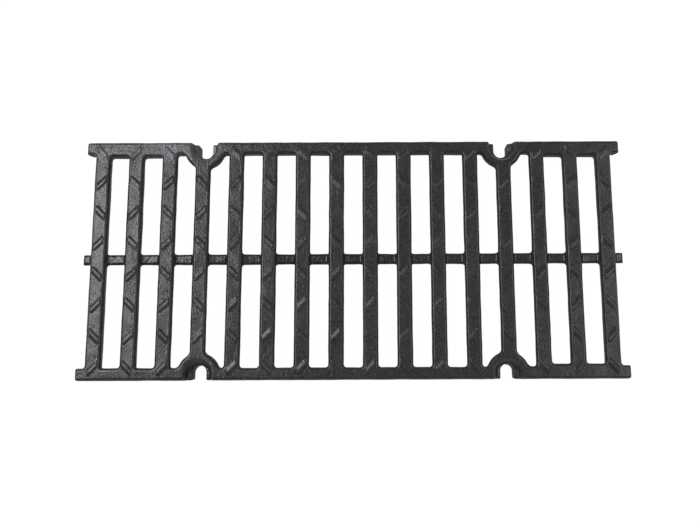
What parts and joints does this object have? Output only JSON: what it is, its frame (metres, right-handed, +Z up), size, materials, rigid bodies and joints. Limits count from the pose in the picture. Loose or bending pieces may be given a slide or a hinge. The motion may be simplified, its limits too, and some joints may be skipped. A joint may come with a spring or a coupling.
{
  "type": "channel drain grate",
  "caption": "One-piece cast iron slotted grate for a drainage channel, with long side rails, a sunk middle rib, slanting anti-slip ridges and open bolt notches in the rails.",
  "frame": {"origin": "middle of the underside, where the centre lines of the grate's length and width meet in the plane of the rails' feet", "axes": "+X along the grate and its rails, +Y across it along the bars, +Z up out of the wearing surface"},
  "size_m": [0.5, 0.222, 0.021],
  "materials": {
    "cast_iron": "rough as-cast surface under a thin black coating, satin, slightly worn on the top edges"
  },
  "bodies": {
    "root": {"drain_grate": "cast_iron"}
  },
  "joints": []
}
